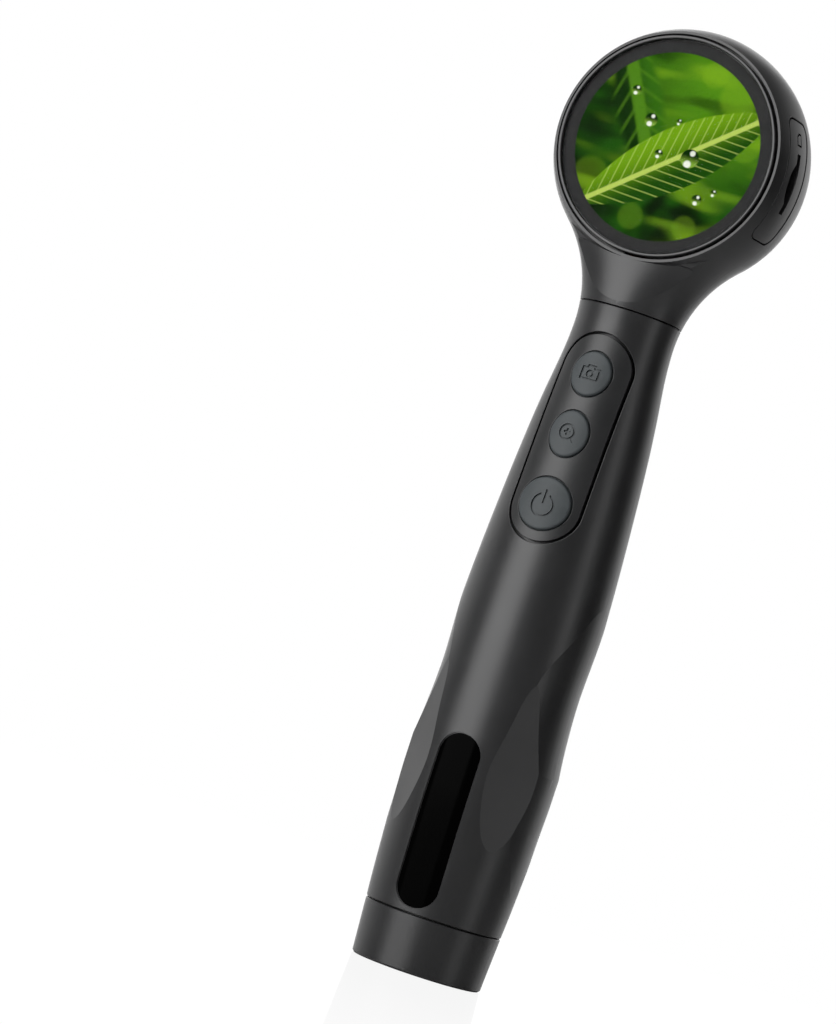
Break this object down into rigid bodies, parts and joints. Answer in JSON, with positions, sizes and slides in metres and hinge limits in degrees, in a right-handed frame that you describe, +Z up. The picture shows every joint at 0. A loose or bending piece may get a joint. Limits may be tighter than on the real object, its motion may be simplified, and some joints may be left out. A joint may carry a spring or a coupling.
{
  "type": "lcd digital microscope",
  "caption": "Hand-held digital microscope wand: round display head with focusing lens, lamps and hood behind it, keys on a flared grip, cell under a screw-on tail cap.",
  "frame": {"origin": "centre of the tail cap's flat face, on which the wand stands", "axes": "+Z up the handle to the head, -Y out of the display, +Y out of the lens, +X towards the memory card slot"},
  "size_m": [0.054, 0.051, 0.206],
  "materials": {
    "moulded_abs": "fine satin moulded texture",
    "bezel_abs": "satin moulded ring",
    "panel_abs": "satin moulded panel",
    "key_rubber": "soft-touch blue-grey keys",
    "cover_glass": "polished flat glass",
    "mask_ink": "black print behind the glass",
    "screen_picture": "lit display with a green close-up",
    "gloss_acrylic": "polished black inlay",
    "white_film": "white backlight film",
    "circuit_board": "solder mask",
    "zinc_steel": "zinc-plated screws and shields",
    "gold_contact": "plated contacts",
    "black_anodised": "black anodised lens barrel",
    "lens_glass": "coated optical glass",
    "lamp_resin": "lamp package with phosphor",
    "frosted_acrylic": "frosted diffuser",
    "spring_steel": "bright coil spring",
    "seal_rubber": "nitrile O-ring",
    "cell_wrap": "wrapped rechargeable cell",
    "polyimide": "flexible circuit",
    "wire_pvc": "insulated leads"
  },
  "bodies": {
    "wand": {"head_shell": "moulded_abs", "display_bezel": "bezel_abs", "display_glass": "cover_glass", "display_mask": "mask_ink", "lcd_panel": "screen_picture", "lcd_backlight": "white_film", "display_tray": "bezel_abs", "main_board": "circuit_board", "board_screws": "zinc_steel", "processor_shield": "zinc_steel", "image_sensor": "mask_ink", "card_socket": "zinc_steel", "usb_socket": "zinc_steel", "card_port_plate": "moulded_abs", "usb_port_plate": "moulded_abs", "lens_mount": "bezel_abs", "rear_cover": "moulded_abs", "cover_screws": "zinc_steel", "lens_hood": "moulded_abs", "lamp_board": "circuit_board", "lamps": "lamp_resin", "lamp_window": "frosted_acrylic", "neck_coupler": "bezel_abs", "neck_screws": "zinc_steel", "handle_shell": "moulded_abs", "button_panel": "panel_abs", "key_board": "circuit_board", "key_switches": "zinc_steel", "key_screws": "zinc_steel", "key_flex": "polyimide", "badge_inlay": "gloss_acrylic", "battery_cell": "cell_wrap", "battery_sleeve": "bezel_abs", "contact_holder": "bezel_abs", "positive_contact": "gold_contact", "power_leads": "wire_pvc"},
    "camera_key": {"camera_button": "key_rubber", "camera_plunger": "seal_rubber"},
    "zoom_key": {"zoom_button": "key_rubber", "zoom_plunger": "seal_rubber"},
    "power_key": {"power_button": "key_rubber", "power_plunger": "seal_rubber"},
    "focus_wheel": {"focus_ring": "bezel_abs"},
    "lens_carrier": {"lens_barrel": "black_anodised", "front_lens": "lens_glass", "rear_lens": "lens_glass"},
    "tail_contact": {"tail_contact_disc": "gold_contact", "tail_spring": "spring_steel"},
    "tail_screw": {"tail_cap": "moulded_abs", "tail_seal": "seal_rubber"}
  },
  "joints": [
    {"name": "camera_press", "type": "slide", "parent": "wand", "child": "camera_key", "axis": [0, 1, 0], "range_m": [0, 0.0004], "stiffness_N_per_m": 1500, "springref_m": -0.0004},
    {"name": "zoom_press", "type": "slide", "parent": "wand", "child": "zoom_key", "axis": [0, 1, 0], "range_m": [0, 0.0004], "stiffness_N_per_m": 1500, "springref_m": -0.0004},
    {"name": "power_press", "type": "slide", "parent": "wand", "child": "power_key", "axis": [0, 1, 0], "range_m": [0, 0.0004], "stiffness_N_per_m": 1500, "springref_m": -0.0004},
    {"name": "focus_turn", "type": "hinge", "parent": "wand", "child": "focus_wheel", "pos_m": [0, 0.02275, 0.179], "axis": [0, 1, 0], "range_deg": [-90, 90]},
    {"name": "lens_travel", "type": "slide", "parent": "wand", "child": "lens_carrier", "axis": [0, 1, 0], "range_m": [-0.0015, 0.0015]},
    {"name": "tail_out", "type": "slide", "parent": "wand", "child": "tail_contact", "axis": [0, 0, -1], "range_m": [0, 0.00375]},
    {"name": "tail_turn", "type": "hinge", "parent": "tail_contact", "child": "tail_screw", "pos_m": [0, 0, 0.006], "axis": [0, 0, -1], "range_deg": [0, 900]}
  ],
  "couplings": [
    {"joint": "focus_turn", "follows": "lens_travel", "rad_per_m": -1047.2},
    {"joint": "tail_turn", "follows": "tail_out", "rad_per_m": 4188.8}
  ]
}
